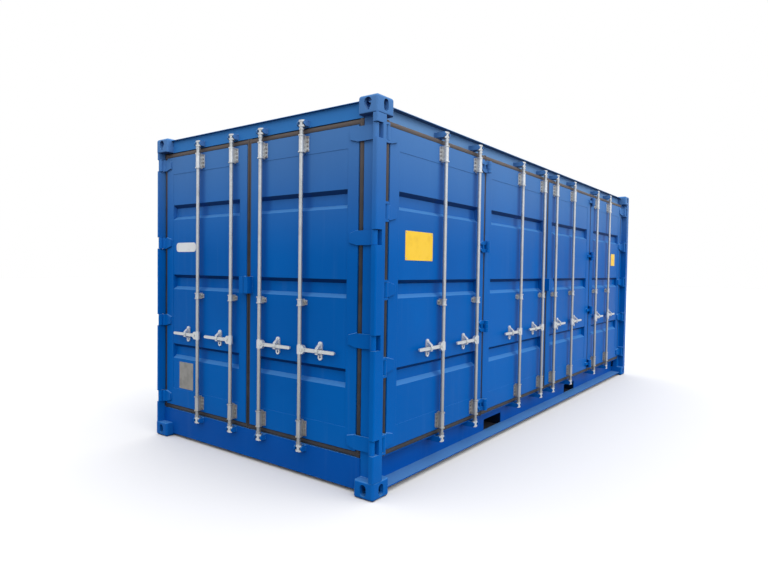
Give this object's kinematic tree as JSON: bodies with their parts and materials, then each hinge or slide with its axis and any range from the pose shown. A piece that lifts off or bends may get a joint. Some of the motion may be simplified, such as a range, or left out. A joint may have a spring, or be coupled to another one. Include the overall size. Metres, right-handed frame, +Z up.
{
  "type": "shipping container",
  "caption": "Blue steel freight container with double doors in one end and folding doors along one whole side, all held shut by galvanised lock rods.",
  "frame": {"origin": "centre of the footprint, on the ground under the bottom corner castings", "axes": "+Z up, +X along the container from the end doors to the blank end, -Y out of the side doors"},
  "size_m": [6.058, 2.438, 2.591],
  "materials": {
    "blue_paint": "semi-gloss",
    "galvanised_steel": "dull galvanised",
    "gasket_rubber": "matt",
    "floor_boards": "oiled plywood"
  },
  "bodies": {
    "frame": {"bottom_castings": "blue_paint", "cross_members": "blue_paint", "floor": "floor_boards", "fork_pockets": "blue_paint", "front_bottom_rail": "blue_paint", "front_left_post": "blue_paint", "front_right_post": "blue_paint", "front_top_rail": "blue_paint", "front_wall": "blue_paint", "left_bottom_rail": "blue_paint", "left_top_rail": "blue_paint", "left_wall": "blue_paint", "rear_header": "blue_paint", "rear_keepers": "blue_paint", "rear_left_post": "blue_paint", "rear_right_post": "blue_paint", "rear_sill": "blue_paint", "roof_panel": "blue_paint", "side_header": "blue_paint", "side_keepers": "blue_paint", "side_sill": "blue_paint", "top_castings": "blue_paint"},
    "rear_left_door": {"rear_left_door_panel": "blue_paint", "rear_left_door_gasket": "gasket_rubber", "rear_left_door_ironwork": "galvanised_steel"},
    "rear_right_door": {"rear_right_door_panel": "blue_paint", "rear_right_door_gasket": "gasket_rubber", "rear_right_door_ironwork": "galvanised_steel"},
    "side_door_1": {"side_door_1_panel": "blue_paint", "side_door_1_gasket": "gasket_rubber", "side_door_1_ironwork": "galvanised_steel"},
    "side_door_2": {"side_door_2_panel": "blue_paint", "side_door_2_gasket": "gasket_rubber", "side_door_2_ironwork": "galvanised_steel"},
    "side_door_4": {"side_door_4_panel": "blue_paint", "side_door_4_gasket": "gasket_rubber", "side_door_4_ironwork": "galvanised_steel"},
    "side_door_3": {"side_door_3_panel": "blue_paint", "side_door_3_gasket": "gasket_rubber", "side_door_3_ironwork": "galvanised_steel"},
    "rear_left_door_rod_1": {"rear_left_door_rod_1": "galvanised_steel"},
    "rear_left_door_rod_2": {"rear_left_door_rod_2": "galvanised_steel"},
    "rear_right_door_rod_1": {"rear_right_door_rod_1": "galvanised_steel"},
    "rear_right_door_rod_2": {"rear_right_door_rod_2": "galvanised_steel"},
    "side_door_1_rod_1": {"side_door_1_rod_1": "galvanised_steel"},
    "side_door_1_rod_2": {"side_door_1_rod_2": "galvanised_steel"},
    "side_door_2_rod_1": {"side_door_2_rod_1": "galvanised_steel"},
    "side_door_2_rod_2": {"side_door_2_rod_2": "galvanised_steel"},
    "side_door_3_rod_1": {"side_door_3_rod_1": "galvanised_steel"},
    "side_door_3_rod_2": {"side_door_3_rod_2": "galvanised_steel"},
    "side_door_4_rod_1": {"side_door_4_rod_1": "galvanised_steel"},
    "side_door_4_rod_2": {"side_door_4_rod_2": "galvanised_steel"}
  },
  "joints": [
    {"name": "rear_left_door_hinge", "type": "hinge", "parent": "frame", "child": "rear_left_door", "pos_m": [-3.003, 1.187, 1.355], "axis": [0, 0, -1], "range_deg": [0, 260]},
    {"name": "rear_right_door_hinge", "type": "hinge", "parent": "frame", "child": "rear_right_door", "pos_m": [-3.003, -1.187, 1.355], "axis": [0, 0, 1], "range_deg": [0, 245]},
    {"name": "side_door_1_hinge", "type": "hinge", "parent": "frame", "child": "side_door_1", "pos_m": [-2.893, -1.193, 1.355], "axis": [0, 0, 1], "range_deg": [-120, 0]},
    {"name": "side_door_2_hinge", "type": "hinge", "parent": "side_door_1", "child": "side_door_2", "pos_m": [-1.4355, -1.193, 1.355], "axis": [0, 0, 1], "range_deg": [-170, 0]},
    {"name": "side_door_4_hinge", "type": "hinge", "parent": "frame", "child": "side_door_4", "pos_m": [2.893, -1.193, 1.355], "axis": [0, 0, -1], "range_deg": [-120, 0]},
    {"name": "side_door_3_hinge", "type": "hinge", "parent": "side_door_4", "child": "side_door_3", "pos_m": [1.4355, -1.193, 1.355], "axis": [0, 0, -1], "range_deg": [-170, 0]},
    {"name": "rear_left_door_rod_1_turn", "type": "hinge", "parent": "rear_left_door", "child": "rear_left_door_rod_1", "pos_m": [-3.005, 0.652, 1.355], "axis": [0, 0, -1], "range_deg": [-100, 0]},
    {"name": "rear_left_door_rod_2_turn", "type": "hinge", "parent": "rear_left_door", "child": "rear_left_door_rod_2", "pos_m": [-3.005, 0.228, 1.355], "axis": [0, 0, -1], "range_deg": [-100, 0]},
    {"name": "rear_right_door_rod_1_turn", "type": "hinge", "parent": "rear_right_door", "child": "rear_right_door_rod_1", "pos_m": [-3.005, -0.108, 1.355], "axis": [0, 0, 1], "range_deg": [-100, 0]},
    {"name": "rear_right_door_rod_2_turn", "type": "hinge", "parent": "rear_right_door", "child": "rear_right_door_rod_2", "pos_m": [-3.005, -0.532, 1.355], "axis": [0, 0, 1], "range_deg": [-100, 0]},
    {"name": "side_door_1_rod_1_turn", "type": "hinge", "parent": "side_door_1", "child": "side_door_1_rod_1", "pos_m": [-2.1495, -1.195, 1.355], "axis": [0, 0, 1], "range_deg": [0, 100]},
    {"name": "side_door_1_rod_2_turn", "type": "hinge", "parent": "side_door_1", "child": "side_door_1_rod_2", "pos_m": [-1.6105, -1.195, 1.355], "axis": [0, 0, 1], "range_deg": [0, 100]},
    {"name": "side_door_2_rod_1_turn", "type": "hinge", "parent": "side_door_2", "child": "side_door_2_rod_1", "pos_m": [-0.728, -1.195, 1.355], "axis": [0, 0, 1], "range_deg": [0, 100]},
    {"name": "side_door_2_rod_2_turn", "type": "hinge", "parent": "side_door_2", "child": "side_door_2_rod_2", "pos_m": [-0.175, -1.195, 1.355], "axis": [0, 0, 1], "range_deg": [0, 100]},
    {"name": "side_door_3_rod_1_turn", "type": "hinge", "parent": "side_door_3", "child": "side_door_3_rod_1", "pos_m": [0.175, -1.195, 1.355], "axis": [0, 0, -1], "range_deg": [0, 100]},
    {"name": "side_door_3_rod_2_turn", "type": "hinge", "parent": "side_door_3", "child": "side_door_3_rod_2", "pos_m": [0.728, -1.195, 1.355], "axis": [0, 0, -1], "range_deg": [0, 100]},
    {"name": "side_door_4_rod_1_turn", "type": "hinge", "parent": "side_door_4", "child": "side_door_4_rod_1", "pos_m": [1.6105, -1.195, 1.355], "axis": [0, 0, -1], "range_deg": [0, 100]},
    {"name": "side_door_4_rod_2_turn", "type": "hinge", "parent": "side_door_4", "child": "side_door_4_rod_2", "pos_m": [2.1495, -1.195, 1.355], "axis": [0, 0, -1], "range_deg": [0, 100]}
  ]
}
